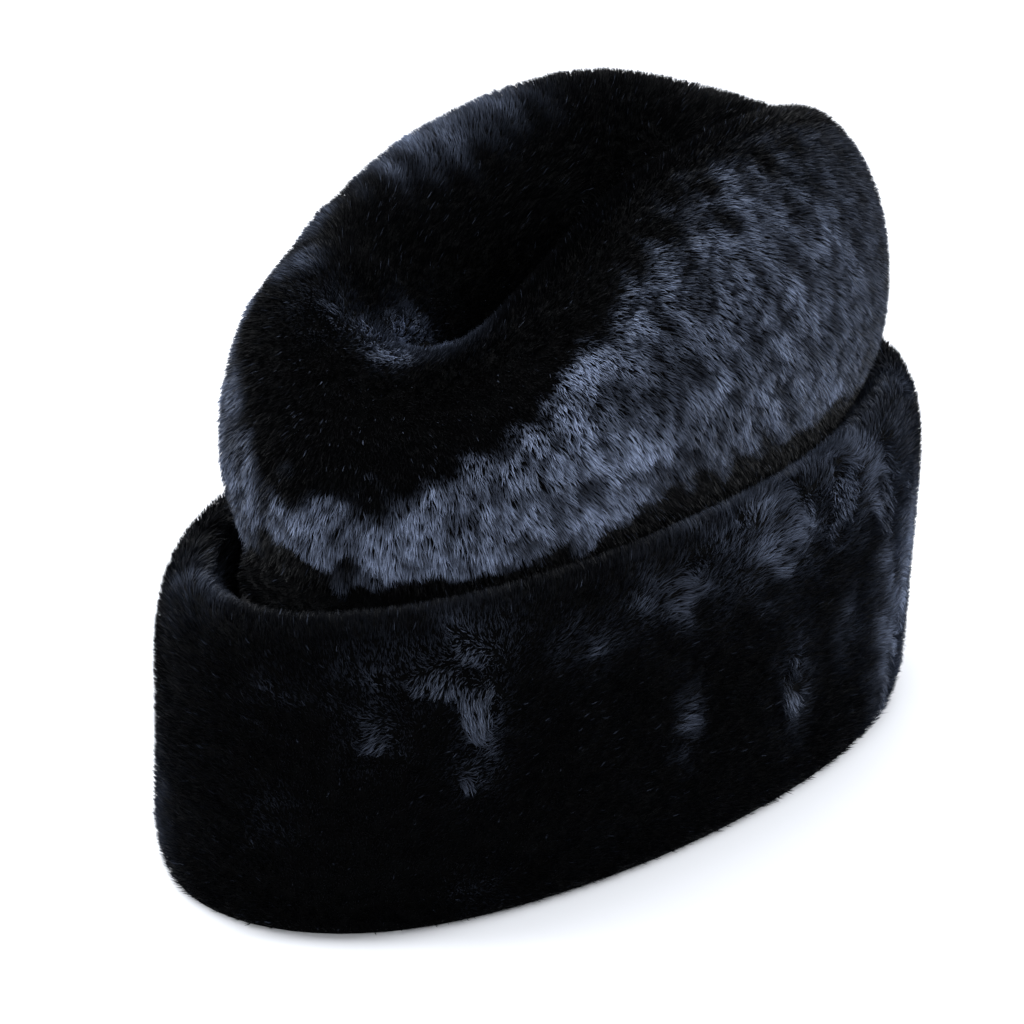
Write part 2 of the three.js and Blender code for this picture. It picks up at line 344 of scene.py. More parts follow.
@dataclass(frozen=True)
class Patch:
    """A place where the pile lies down and gets a painted sheen, or stands up and gets none. Millimetres."""

    x: float
    y: float
    z: float
    wide: float
    tall: float
    sheen: float

    def over(self, points: np.ndarray, sheen: np.ndarray) -> np.ndarray:
        """The painted sheen at each point with this patch laid over it."""
        apart = (points / MM - (self.x, self.y, self.z)) / (self.wide, self.wide, self.tall)
        share = np.exp(-np.sum(apart**2, axis=1))
        return sheen * (1 - share) + self.sheen * share


@dataclass(frozen=True)
class Rise:
    """Between which heights the pile on the crown's outside is laid down with a painted sheen, and how much.

    The angle is in degrees round the hat from its left side, and the heights are in millimetres.
    """

    angle: float
    foot: float
    top: float
    sheen: float


# The crown's painted lit band: a painted highlight in the fibres' colour between foot and top, by angle.
CROWN_RISES = (
    Rise(angle=0, foot=106, top=165, sheen=0.44),
    Rise(angle=15, foot=109, top=170, sheen=0.45),
    Rise(angle=45, foot=108, top=178, sheen=0.38),
    Rise(angle=57, foot=106, top=180, sheen=0.20),
    Rise(angle=68, foot=106, top=184, sheen=0.10),
    Rise(angle=90, foot=104, top=160, sheen=0.15),
    Rise(angle=120, foot=104, top=148, sheen=0.35),
    Rise(angle=160, foot=104, top=158, sheen=0.45),
    Rise(angle=200, foot=104, top=166, sheen=0.45),
    Rise(angle=235, foot=100, top=168, sheen=0.34),
    Rise(angle=258, foot=88, top=140, sheen=0.36),
    Rise(angle=268, foot=101, top=116, sheen=0.50),
    Rise(angle=282, foot=95, top=115, sheen=1.00),
    Rise(angle=295, foot=90, top=122, sheen=1.00),
    Rise(angle=310, foot=97, top=137, sheen=0.84),
    Rise(angle=320, foot=97, top=150, sheen=0.76),
    Rise(angle=342, foot=106, top=160, sheen=0.47),
)

# Patches of painted sheen on the crown: each sets how bright the painted highlight is there; low ones darken
# it.
CROWN_PATCHES = (
    Patch(x=-38, y=-12, z=182, wide=20, tall=7, sheen=0.38),
    Patch(x=-40, y=20, z=186, wide=14, tall=5, sheen=0.22),
    Patch(x=3, y=-73, z=147, wide=6, tall=5, sheen=1.00),
    Patch(x=-4, y=-52, z=140, wide=13, tall=7, sheen=1.00),
    Patch(x=-27, y=-73, z=166, wide=7, tall=5, sheen=0.26),
    Patch(x=-9, y=-78, z=156, wide=8, tall=6, sheen=0.22),
    Patch(x=57, y=-20, z=145, wide=9, tall=9, sheen=0.10),
    Patch(x=56, y=-14, z=136, wide=8, tall=8, sheen=0.15),
    Patch(x=58, y=-38, z=131, wide=7, tall=4, sheen=0.15),
    Patch(x=58, y=-49, z=111, wide=8, tall=4, sheen=0.20),
    Patch(x=64, y=-20, z=112, wide=13, tall=3, sheen=0.10),
    Patch(x=63, y=-12, z=123, wide=5, tall=4, sheen=0.25),
    Patch(x=52, y=31, z=161, wide=6, tall=6, sheen=0.25),
    Patch(x=24, y=-102, z=109, wide=4, tall=4, sheen=0.30),
    # Painted shade in a fold of the crown's lower edge.
    Patch(x=54, y=62, z=103, wide=5, tall=5, sheen=0.00),
)

# Patches of painted sheen on the cuff: each sets how bright the painted highlight in the fibres' colour is
# there.
CUFF_PATCHES = (
    Patch(x=-18, y=-120, z=87, wide=12, tall=9, sheen=0.15),
    Patch(x=20, y=-131, z=67, wide=7, tall=5, sheen=0.10),
    Patch(x=41, y=-114, z=74, wide=10, tall=8, sheen=0.10),
    Patch(x=43, y=-116, z=57, wide=7, tall=7, sheen=0.16),
    Patch(x=51, y=-101, z=72, wide=7, tall=6, sheen=0.18),
    Patch(x=55, y=-90, z=80, wide=12, tall=9, sheen=0.13),
    Patch(x=57, y=-92, z=61, wide=6, tall=14, sheen=0.26),
    Patch(x=55, y=-92, z=47, wide=6, tall=8, sheen=0.20),
    Patch(x=66, y=-59, z=72, wide=8, tall=5, sheen=0.20),
    Patch(x=70, y=-31, z=78, wide=15, tall=7, sheen=0.20),
    Patch(x=72, y=-25, z=40, wide=4, tall=10, sheen=0.22),
    Patch(x=73, y=22, z=38, wide=7, tall=15, sheen=0.24),
    Patch(x=70, y=51, z=43, wide=9, tall=9, sheen=0.18),
    Patch(x=70, y=14, z=84, wide=28, tall=15, sheen=0.26),
    Patch(x=66, y=56, z=88, wide=22, tall=14, sheen=0.30),
    Patch(x=45, y=105, z=97, wide=14, tall=7, sheen=0.16),
    Patch(x=59, y=88, z=40, wide=18, tall=38, sheen=0.44),
    # Painted shade in a narrow upright groove.
    Patch(x=63, y=78, z=47, wide=1.6, tall=26, sheen=0.00),
    Patch(x=20, y=-134, z=34, wide=7, tall=7, sheen=0.06),
    Patch(x=58, y=-94, z=9, wide=7, tall=5, sheen=0.08),
    Patch(x=-32, y=-127, z=14, wide=11, tall=18, sheen=0.14),
)


@dataclass(frozen=True)
class Ground:
    """A smooth skin over the pile, as points with normals and depths of pile, and triangles."""

    points: np.ndarray
    normals: np.ndarray
    depths: np.ndarray
    triangles: np.ndarray

    def scatter(self, count: int, rng: np.random.Generator) -> "Roots":
        """Spreads roots evenly over the surface.

        Args:
            count: How many roots.
            rng: The source of chance.

        Returns:
            The roots.
        """
        corners = self.points[self.triangles]
        sides = corners[:, 1:] - corners[:, :1]
        areas = np.linalg.norm(np.cross(sides[:, 0], sides[:, 1]), axis=1)
        chosen = self.triangles[rng.choice(len(areas), count, p=areas / areas.sum())]
        far = np.sqrt(rng.random(count))
        side = rng.random(count)
        shares = np.stack([1 - far, far * (1 - side), far * side], axis=1)
        points, normals, depths = (
            np.einsum("nk,nk...->n...", shares, values[chosen])
            for values in (self.points, self.normals, self.depths)
        )
        return Roots(points, unit(normals), depths)


@dataclass(frozen=True)
class Roots:
    """Where fibres stand: points of the skin, normals and the depth of pile under them."""

    points: np.ndarray
    normals: np.ndarray
    depths: np.ndarray

    def laid(self, wanted: np.ndarray) -> np.ndarray:
        """Directions laid down onto the surface."""
        return unit(wanted - self.normals * np.sum(wanted * self.normals, axis=1, keepdims=True))


@dataclass(frozen=True)
class Pile:
    """How the fibres of a coat grow.

    Length and reach are shares of the pile's depth. They and the tilts low and high hold a value for
    standing fibres and one for laid ones. The other pairs hold the least and the most that chance gives.
    Angles are in degrees and sizes in metres.
    """

    fibres: int
    width: float = 0.28 * MM
    widths: tuple[float, float] = (0.75, 1.25)
    bend: float = 0.55
    length: tuple[float, float] = (0.40, 0.37)
    lengths: tuple[float, float] = (0.88, 1.06)
    reach: tuple[float, float] = (0.35, 0.22)
    low: tuple[float, float] = (22.0, 38.0)
    high: tuple[float, float] = (40.0, 62.0)
    tilts: tuple[float, float] = (2.0, 86.0)
    chance: float = 9.0
    swing: float = 14.0
    tuft: float = 3.5 * MM
    gather: float = 0.35
    gathers: tuple[float, float] = (0.3, 1.0)
    grip: float = 1.6
    middle_pull: float = 0.4
    roll: float = 40.0
    stray: float = 0.015
    stray_lift: float = 20.0
    stray_length: float = 0.08
    # The share of fibres that get a painted glint, a lighter painted sheen picked at random.
    glint: float = 0.02
    glints: tuple[float, float] = (0.02, 0.25)
    floor: float = 0.3 * MM
    floors: tuple[float, float] = (0.5, 2.0)

    def grow(self, roots: Roots, nap: np.ndarray, laid: np.ndarray, rng: np.random.Generator) -> np.ndarray:
        """Grows a fibre of two straight pieces from each root.

        Args:
            roots: The roots.
            nap: The way in which the fibres lean, for each root.
            laid: How far the fibres are laid down, from 0 to 1, for each root.
            rng: The source of chance.

        Returns:
            The foot, middle and tip of each fibre.
        """
        count = len(roots.points)
        stray = rng.random(count) < self.stray
        tilt = rng.normal(0, self.chance, count) - self.stray_lift * stray
        long = roots.depths * blended(self.length, laid) * rng.uniform(*self.lengths, count)
        long = long * (1 + self.stray_length * stray)
        aside = unit(np.cross(roots.normals, nap))
        swing = np.radians(rng.normal(0, self.swing, count))[:, None]
        heading = nap * np.cos(swing) + aside * np.sin(swing)
        low, high = (
            np.radians(np.clip(blended(pair, laid) + tilt, *self.tilts))[:, None]
            for pair in (self.low, self.high)
        )
        foot = roots.points - roots.normals * (roots.depths * blended(self.reach, laid))[:, None]
        half = long[:, None] / 2
        middle = foot + (roots.normals * np.cos(low) + heading * np.sin(low)) * half
        tip = middle + (roots.normals * np.cos(high) + heading * np.sin(high)) * half
        joints = np.stack([foot, *self.tufted(foot, middle, tip, rng)], axis=1)
        joints[..., 2] = np.maximum(joints[..., 2], self.floor * rng.uniform(*self.floors, (count, 1)))
        return joints

    def tufted(
        self, foot: np.ndarray, middle: np.ndarray, tip: np.ndarray, rng: np.random.Generator
    ) -> tuple[np.ndarray, np.ndarray]:
        """Draws the fibres together into tufts.

        Args:
            foot: The foot of each fibre.
            middle: Its middle.
            tip: Its tip.
            rng: The source of chance.

        Returns:
            The middles and tips.
        """
        spread = foot.max(axis=0) - foot.min(axis=0)
        area = 2 * (spread[0] * spread[1] + (spread[0] + spread[1]) * spread[2])
        count = int(area / self.tuft**2)
        leaders = rng.choice(len(foot), count, replace=False)
        tree = KDTree(count)
        for place, leader in enumerate(leaders):
            tree.insert(foot[leader], place)
        tree.balance()
        nearest = leaders[np.fromiter((tree.find(point)[1] for point in foot), int, len(foot))]
        apart = np.linalg.norm(foot[nearest] - foot, axis=1)
        held = np.clip(self.grip - apart / self.tuft, 0, 1)
        pull = (self.gather * rng.uniform(*self.gathers, len(foot)) * held)[:, None]
        drawn = middle + (middle[nearest] - middle) * pull * self.middle_pull
        return drawn, tip + (tip[nearest] - tip) * pull

    def blades(
        self, joints: np.ndarray, normals: np.ndarray, sheen: np.ndarray, rng: np.random.Generator
    ) -> tuple[np.ndarray, np.ndarray]:
        """Makes a narrow blade of each fibre, widest at its bend.

        Args:
            joints: The foot, middle and tip of each fibre.
            normals: The ground's normal at each.
            sheen: The painted sheen of each, from 0 to 1.
            rng: The source of chance.

        Returns:
            Four corners for each fibre, and the colour of each: place along it, chance and painted sheen.
        """
        count = len(joints)
        heading = unit(joints[:, 2] - joints[:, 0])
        flat = unit(np.cross(heading, normals))
        edge = np.cross(heading, flat)
        roll = np.radians(rng.normal(0, self.roll, count))[:, None]
        half = (flat * np.cos(roll) + edge * np.sin(roll)) * self.width / 2
        half = half * rng.uniform(*self.widths, (count, 1))
        foot, middle, tip = (joints[:, k] for k in range(3))
        corners = np.stack([foot, middle - half, middle + half, tip], axis=1)
        colour = np.ones((count, 4, 4))
        colour[..., 0] = [0.0, self.bend, self.bend, 1.0]
        colour[..., 1] = rng.random(count)[:, None]
        # Painted glints: a few fibres get a lighter painted sheen, as if they caught the light.
        bright = (rng.random(count) < self.glint) * rng.uniform(*self.glints, count)
        colour[..., 2] = np.maximum(sheen, bright)[:, None]
        return corners, colour


BLADE_FACES = np.array([[0, 2, 1], [1, 2, 3]])
FLAT_ENOUGH = math.radians(60)


def joined(
    name: str, corners: np.ndarray, colour: np.ndarray, material: bpy.types.Material
) -> bpy.types.Object:
    """Joins blades into one piece.

    Args:
        name: The piece's name.
        corners: The corners of each blade.
        colour: The colour of each corner.
        material: The piece's material.

    Returns:
        The piece.
    """
    count = len(corners)
    faces = (np.arange(count)[:, None, None] * corners.shape[1] + BLADE_FACES).reshape(-1, 3)
    mesh = bpy.data.meshes.new(name)
    mesh.vertices.add(count * corners.shape[1])
    mesh.vertices.foreach_set("co", corners.astype(np.float32).ravel())
    mesh.loops.add(faces.size)
    mesh.loops.foreach_set("vertex_index", faces.astype(np.int32).ravel())
    mesh.polygons.add(len(faces))
    mesh.polygons.foreach_set("loop_start", np.arange(0, faces.size, 3, dtype=np.int32))
    mesh.update(calc_edges=True)
    strand = mesh.attributes.new("strand", "FLOAT_COLOR", "POINT")
    strand.data.foreach_set("color", colour.astype(np.float32).ravel())
    mesh.materials.append(material)
    return linked(bpy.data.objects.new(name, mesh))


def linked(piece: bpy.types.Object) -> bpy.types.Object:
    """Puts an object in the scene and gives it back."""
    bpy.context.scene.collection.objects.link(piece)
    return piece


def merged(node: bpy.types.Object) -> bmesh.types.BMesh:
    """A copy of a CAD node's mesh with its doubles merged."""
    shape = bmesh.new()
    shape.from_mesh(node.data)
    bmesh.ops.remove_doubles(shape, verts=shape.verts, dist=1e-6)
    return shape


def squared(shape: bmesh.types.BMesh) -> None:
    """Joins the triangles of a shape into faces of four sides."""
    bmesh.ops.join_triangles(
        shape,
        faces=shape.faces,
        angle_face_threshold=FLAT_ENOUGH,
        angle_shape_threshold=FLAT_ENOUGH,
    )


def islands(shape: bmesh.types.BMesh) -> list[bmesh.types.BMFace]:
    """The faces of a shape that its largest joined part leaves out."""
    left = set(shape.faces)
    parts = []
    while left:
        part = [left.pop()]
        for face in part:
            beside = {other for edge in face.edges for other in edge.link_faces if other in left}
            left -= beside
            part.extend(beside)
        parts.append(part)
    parts.sort(key=len)
    return [face for part in parts[:-1] for face in part]


def smoothed(shape: bmesh.types.BMesh, levels: int, name: str) -> bpy.types.Mesh:
    """Subdivides a shape smoothly.

    Args:
        shape: The shape, which is freed.
        levels: How often each face is divided.
        name: The new mesh's name.

    Returns:
        The mesh.
    """
    rough = bpy.data.meshes.new(name + "_rough")
    shape.to_mesh(rough)
    shape.free()
    holder = linked(bpy.data.objects.new(name + "_rough", rough))
    finer = holder.modifiers.new("finer", "SUBSURF")
    finer.levels = finer.render_levels = levels
    finer.boundary_smooth = "PRESERVE_CORNERS"
    mesh = bpy.data.meshes.new_from_object(holder.evaluated_get(bpy.context.evaluated_depsgraph_get()))
    mesh.name = name
    bpy.data.objects.remove(holder)
    bpy.data.meshes.remove(rough)
    return mesh


@dataclass
class FurCoat:
    """A coat of pile over its cloth: a dense undercoat with the long fibres standing out of it.

    The shares under, hidden, shallow and deep are of the pile's depth, and fold is in millimetres.
    """

    coat: Coat
    pile: Pile
    pieces: int
    seed: int
    levels: int = 2
    near: float = 1.5 * MM
    down: float = 0.95
    usual: float = 11 * MM
    shallow: float = 0.3
    deep: float = 1.1
    onward: float = 0.02 * MM
    under: float = 0.22
    hidden: float = 0.9
    calm: int = 3
    fill: float = 2.4 * MM
    fold: tuple[float, float] = (0.4, 1.2)
    laid: float = 0.5
    shift: float = 3 * MM

    def build(self, nodes: dict[str, bpy.types.Object], finishes: dict[str, bpy.types.Material]) -> None:
        """Builds and places the coat.

        Args:
            nodes: The CAD nodes.
            finishes: The materials by name.
        """
        cloth, fur = (nodes[name] for name in self.coat.value)
        inside = self.tree(fur)
        coarse = self.skin(cloth, fur)
        fine = smoothed(coarse.copy(), self.levels, fur.name + "_skin")
        self.placed(self.undercoat(smoothed(coarse, 1, fur.name + "_ground"), inside, finishes["undercoat"]))
        rng = np.random.default_rng(self.seed)
        roots = self.ground(fine, inside).scatter(self.pile.fibres, rng)
        # The painted sheen: a painted highlight carried in the fibres' colour; where it is high the fibres
        # also lie down.
        sheen = self.sheen(roots)
        joints = self.pile.grow(roots, self.nap(roots), ease(sheen, 0.0, self.laid), rng)
        corners, colour = self.pile.blades(joints, roots.normals, sheen, rng)
        turn = np.arctan2(roots.points[:, 1], roots.points[:, 0])
        for number, share in enumerate(np.array_split(np.argsort(turn), self.pieces)):
            name = f"{cloth.name}_pile_{number + 1}"
            self.placed(joined(name, corners[share], colour[share], finishes["pile"]))

    def placed(self, piece: bpy.types.Object) -> None:
        """Lets a piece ride on the hat and stand for the CAD node of the pile."""
        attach(piece, "root")
        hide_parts(self.coat.value[1])
        log.info("%s: %d faces", piece.name, len(piece.data.polygons))

    @staticmethod
    def tree(node: bpy.types.Object) -> BVHTree:
        """The faces of a CAD node, to cast rays at."""
        shape = merged(node)
        tree = BVHTree.FromBMesh(shape)
        shape.free()
        return tree

    def skin(self, cloth: bpy.types.Object, fur: bpy.types.Object) -> bmesh.types.BMesh:
        """The outer faces of the pile, calmed.

        Args:
            cloth: The CAD node of the cloth.
            fur: The CAD node of the pile.

        Returns:
            The open skin.
        """
        against = self.tree(cloth)
        shape = merged(fur)
        shape.normal_update()
        centres = [(face, face.calc_center_median()) for face in shape.faces]
        inner = [face for face, centre in centres if against.ray_cast(centre, face.normal, self.near)[0]]
        floor = [face for face, centre in centres if face.normal.z < -self.down and centre.z < self.near]
        bmesh.ops.delete(shape, geom=list({*inner, *floor}), context="FACES")
        bmesh.ops.delete(shape, geom=islands(shape), context="FACES")
        squared(shape)
        loose = [vertex for vertex in shape.verts if not vertex.is_boundary]
        axes = {f"use_axis_{axis}": True for axis in "xyz"}
        for _ in range(self.calm):
            bmesh.ops.smooth_vert(shape, verts=loose, factor=0.5, **axes)
        shape.normal_update()
        fills = [self.fill * (1 - self.hollow(vertex)) for vertex in loose]
        for vertex, fill in zip(loose, fills):
            vertex.co += vertex.normal * fill
        for vertex in shape.verts:
            if vertex.co.z < self.near:
                vertex.co += Vector((vertex.normal.x, vertex.normal.y, 0)) * self.fill
        return shape

    def hollow(self, vertex: bmesh.types.BMVert) -> float:
        """How deep a vertex lies below its neighbours.

        Args:
            vertex: The vertex, which has neighbours.

        Returns:
            0 on a flat or round place, 1 at the bottom of a fold.
        """
        beside = [edge.other_vert(vertex).co for edge in vertex.link_edges]
        sunk = sum(((place - vertex.co).dot(vertex.normal) for place in beside), 0.0) / len(beside)
        return float(ease(np.array(sunk / MM), *self.fold))

    def ground(self, skin: bpy.types.Mesh, inside: BVHTree) -> Ground:
        """Reads the skin's points and the depth of pile under each.

        Args:
            skin: The skin.
            inside: The faces of the pile.

        Returns:
            The ground that roots are spread over.
        """
        depths = self.depths(skin, inside)
        skin.calc_loop_triangles()
        corners = [tuple(triangle.vertices) for triangle in skin.loop_triangles]
        points = np.array([vertex.co for vertex in skin.vertices])
        normals = np.array([vertex.normal for vertex in skin.vertices])
        return Ground(points, normals, depths, np.array(corners))

    def depths(self, skin: bpy.types.Mesh, inside: BVHTree) -> np.ndarray:
        """The way in through the pile at each point of the skin.

        Args:
            skin: The skin.
            inside: The faces of the pile.

        Returns:
            The depths.
        """
        return np.array([self.depth(inside, vertex.co, -vertex.normal) for vertex in skin.vertices])

    def depth(self, inside: BVHTree, start: Vector, way: Vector) -> float:
        """The way in through the pile from one point of the skin.

        Args:
            inside: The faces of the pile.
            start: The point.
            way: The way in.

        Returns:
            The depth, or the usual one where no inner face is met.
        """
        travelled = -2 * self.near
        while travelled < 2 * self.usual:
            _, facing, _, step = inside.ray_cast(start + way * travelled, way)
            if step is None:
                break
            travelled += step
            if facing.dot(way) > 0 and travelled > self.near:
                return min(max(travelled, self.shallow * self.usual), self.deep * self.usual)
            travelled += self.onward
        return self.usual

    def undercoat(
        self, skin: bpy.types.Mesh, inside: BVHTree, material: bpy.types.Material
    ) -> bpy.types.Object:
        """The undercoat: a shell between two depths of the pile.

        Args:
            skin: The skin.
            inside: The faces of the pile.
            material: The piece's material.

        Returns:
            The piece.
        """
        depths = self.depths(skin, inside)
        shape = bmesh.new()
        shape.from_mesh(skin)
        way = shape.verts.layers.float_vector.new("way")
        for vertex, depth in zip(shape.verts, depths):
            vertex[way] = vertex.normal * -depth
        lower = bmesh.ops.duplicate(shape, geom=shape.faces[:])["geom"]
        turned_in = [part for part in lower if isinstance(part, bmesh.types.BMFace)]
        bmesh.ops.reverse_faces(shape, faces=turned_in)
        below = {part for part in lower if isinstance(part, bmesh.types.BMVert)}
        for vertex in shape.verts:
            vertex.co += vertex[way] * (self.hidden if vertex in below else self.under)
            vertex.co.z = max(vertex.co.z, self.pile.floor)
        bmesh.ops.bridge_loops(shape, edges=[edge for edge in shape.edges if edge.is_boundary])
        mesh = bpy.data.meshes.new(self.coat.value[0] + "_undercoat")
        shape.to_mesh(mesh)
        shape.free()
        mesh.materials.append(material)
        return linked(bpy.data.objects.new(mesh.name, mesh))

    def nap(self, roots: Roots) -> np.ndarray:
        """The way in which the fibres lean at each root."""
        raise NotImplementedError

    def sheen(self, roots: Roots) -> np.ndarray:
        """The painted sheen at each root, from 0 to 1: a painted highlight in the fibres' colour."""
        raise NotImplementedError

    def patched(
        self,
        sheen: np.ndarray,
        points: np.ndarray,
        ragged: np.ndarray,
        patches: tuple[Patch, ...],
        by_chance: tuple[float, float],
    ) -> np.ndarray:
        """Lays patches with ragged edges over a painted sheen and makes it uneven.

        Args:
            sheen: The painted sheen at each point.
            points: The points.
            ragged: A fine wandering field at the points.
            patches: The patches, in the order in which they are laid.
            by_chance: The middle of the uneven factor, and how far the field changes it.

        Returns:
            The painted sheen, from 0 to 1.
        """
        shifted = points + ragged * self.shift
        for patch in patches:
            sheen = patch.over(shifted, sheen)
        return np.clip(sheen * (by_chance[0] + by_chance[1] * ragged[:, 1]), 0, 1)


def turned(points: np.ndarray) -> np.ndarray:
    """The angle of each point round the hat in degrees, from the left side through the back."""
    return np.degrees(np.arctan2(points[:, 1], points[:, 0])) % 360


UNSEEN_FROM = (70, 90)
UNSEEN_TO = (225, 245)


def unseen(points: np.ndarray) -> np.ndarray:
    """1 on the back and the right side of the hat and 0 elsewhere, with a soft change between."""
    angle = turned(points)
    return ease(angle, *UNSEEN_FROM) * (1 - ease(angle, *UNSEEN_TO))


@dataclass
class CrownCoat(FurCoat):
    """The crown's coat. Its nap runs out of the dent, over the ridge and down the outside.

    The dent's line is at an x, from a y to a y. The pairs facing and outward are cosines between the way
    out of the dent and the surface's normal. The borders of the painted lit band are in millimetres of
    height.
    """

    hidden: float = 0.55
    dent: tuple[float, float, float] = (-8 * MM, -45 * MM, 65 * MM)
    bottom: tuple[float, float] = (5 * MM, 16 * MM)
    sweep: float = 0.35
    drop: float = 1.6
    facing: tuple[float, float] = (-0.1, 0.6)
    stir: float = 45 * MM
    wander: float = 0.4
    rag: float = 16 * MM
    cloud: float = 30 * MM
    spot: float = 8 * MM
    edge: float = 5.0
    billow: float = 6.0
    softer: float = 1.6
    top_border: tuple[float, float] = (-4.0, 7.0)
    foot_border: tuple[float, float] = (-3.0, 3.0)
    outward: tuple[float, float] = (0.0, 0.4)
    spot_border: tuple[float, float] = (-0.7, 0.5)
    by_cloud: tuple[float, float] = (0.85, 0.25)
    by_spot: tuple[float, float] = (0.34, 0.76)
    by_chance: tuple[float, float] = (1.0, 0.5)

    def out(self, roots: Roots) -> tuple[np.ndarray, np.ndarray]:
        """Looks out from the dent's line.

        Args:
            roots: The roots.

        Returns:
            The level way out at each root, and a share from 0 on the dent's bottom to 1 away from it.
        """
        line = np.stack([
            np.full(len(roots.points), self.dent[0]),
            np.clip(roots.points[:, 1], self.dent[1], self.dent[2]),
            roots.points[:, 2],
        ], axis=1)
        apart = roots.points - line
        return unit(apart), ease(np.linalg.norm(apart, axis=1), *self.bottom)

    def nap(self, roots: Roots) -> np.ndarray:
        """The way in which the fibres lean at each root."""
        out, clear = self.out(roots)
        facing = ease(np.sum(out * roots.normals, axis=1), *self.facing)
        fall = (facing * clear)[:, None] * np.array([0, 0, -self.drop])
        out = out * clear[:, None] + np.array([0, -1.0, 0]) * (1 - clear[:, None])
        back = np.array([0, self.sweep, 0])
        stir = Drift(self.stir, self.seed + 1).at(roots.points) * self.wander
        return roots.laid(out + fall + back + stir)

    def sheen(self, roots: Roots) -> np.ndarray:
        """The painted sheen at each root, from 0 to 1: a painted highlight in the fibres' colour."""
        ragged = Drift(self.rag, self.seed + 2).at(roots.points)
        cloud = Drift(self.cloud, self.seed + 3).at(roots.points)[:, 0]
        angle = turned(roots.points)
        angles = [row.angle for row in CROWN_RISES]
        top, foot, strength = (
            np.interp(angle, angles, [getattr(row, name) for row in CROWN_RISES], period=360)
            for name in ("top", "foot", "sheen")
        )
        height = roots.points[:, 2] / MM + ragged[:, 0] * self.edge
        soft = self.softer * unseen(roots.points)
        below = ease((top + cloud * self.billow * soft - height) / (1 + soft), *self.top_border)
        above = ease(height - foot, *self.foot_border)
        out, clear = self.out(roots)
        outside = ease(np.sum(out * roots.normals, axis=1), *self.outward) * clear
        spots = ease(Drift(self.spot, self.seed + 4).at(roots.points)[:, 0], *self.spot_border)
        uneven = (self.by_cloud[0] + self.by_cloud[1] * cloud) * (self.by_spot[0] + self.by_spot[1] * spots)
        # The painted lit band: a painted highlight in the fibres' colour between foot and top, on the
        # outside only, made uneven.
        sheen = strength * below * above * outside * uneven
        return self.patched(sheen, roots.points, ragged, CROWN_PATCHES, self.by_chance)


@dataclass
class CuffCoat(FurCoat):
    """The cuff's coat. Its nap runs up the outside, as the cuff is turned up, with ruffled places.

    The pairs that end in border are between which values of a field or painted sheen something sets in.
    """

    stir: float = 34 * MM
    calm_stir: float = 0.3
    ruffle: float = 1.2
    ruffle_border: tuple[float, float] = (0.03, 0.3)
    inward: float = 0.3
    rolled: tuple[float, float] = (0.2, 0.8)
    rag: float = 11 * MM
    cloud: float = 55 * MM
    cloud_rag: float = 0.3
    cloud_border: tuple[float, float] = (0.1, 1.4)
    # Levels of painted sheen: a faint one all over the cuff, and more in cloudy places on its back and right
    # side.
    faint: float = 0.005
    unseen_sheen: float = 0.12
    by_chance: tuple[float, float] = (1.13, 0.55)

    def nap(self, roots: Roots) -> np.ndarray:
        """The way in which the fibres lean at each root."""
        points = roots.points
        level = np.zeros(len(points))
        inward = unit(np.stack([-points[:, 0], -points[:, 1] * self.inward, level], axis=1))
        up = np.array([0, 0, 1.0]) + inward * ease(roots.normals[:, 2], *self.rolled)[:, None]
        stir = Drift(self.stir, self.seed + 3).at(points)
        patch = ease(self.sheen(roots), *self.ruffle_border)[:, None]
        return roots.laid(up * (1 - patch) + stir * (self.calm_stir + self.ruffle * patch))

    def sheen(self, roots: Roots) -> np.ndarray:
        """The painted sheen at each root, from 0 to 1: a painted highlight in the fibres' colour."""
        ragged = Drift(self.rag, self.seed + 2).at(roots.points)
        cloud = Drift(self.cloud, self.seed + 1).at(roots.points)[:, 0] + self.cloud_rag * ragged[:, 2]
        # A faint painted sheen all over, more in cloudy places on the back and the right side.
        sheen = self.faint + self.unseen_sheen * unseen(roots.points) * ease(cloud, *self.cloud_border)
        return self.patched(sheen, roots.points, ragged, CUFF_PATCHES, self.by_chance)


@dataclass
class Backing:
    """The knitted backing cloth of a CAD node, which shows inside and below."""

    node: str
    levels: int = 1
    radius: float = 85 * MM
    squash: float = 0.6
    level: float = 0.8

    def build(self, nodes: dict[str, bpy.types.Object], finishes: dict[str, bpy.types.Material]) -> None:
        """Builds the cloth as a smooth copy of its node, with a UV map that follows it."""
        shape = merged(nodes[self.node])
        squared(shape)
        mesh = smoothed(shape, self.levels, self.node + "_cloth")
        mesh.materials.clear()
        mesh.materials.append(finishes["backing"])
        self.mapped(mesh)
        piece = linked(bpy.data.objects.new(mesh.name, mesh))
        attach(piece, "root")
        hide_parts(self.node)
        log.info("%s: %d faces", piece.name, len(mesh.polygons))

    def mapped(self, mesh: bpy.types.Mesh) -> None:
        """Adds the UV map knit, in metres round and up the cloth.

        Args:
            mesh: The cloth's mesh.
        """
        knit = mesh.uv_layers.new(name="knit")
        for face in mesh.polygons:
            places = [mesh.vertices[vertex].co for vertex in face.vertices]
            turns = [math.atan2(place.x, -place.y * self.squash) for place in places]
            wraps = max(turns) - min(turns) > math.pi
            level = abs(face.normal.z) > self.level
            for loop, place, turn in zip(face.loop_indices, places, turns):
                around = turn + (2 * math.pi if wraps and turn < 0 else 0)
                rise = math.hypot(place.x, place.y) if level else place.z
                knit.data[loop].uv = (around * self.radius, rise)


@dataclass(frozen=True)
class Lamp:
    """A square soft light.

    It hangs so many metres to the right of the hat, towards the camera and above it. Size is its side in
    metres, and power is in watts.
    """

    name: str
    across: float
    near: float
    height: float
    size: float
    power: float


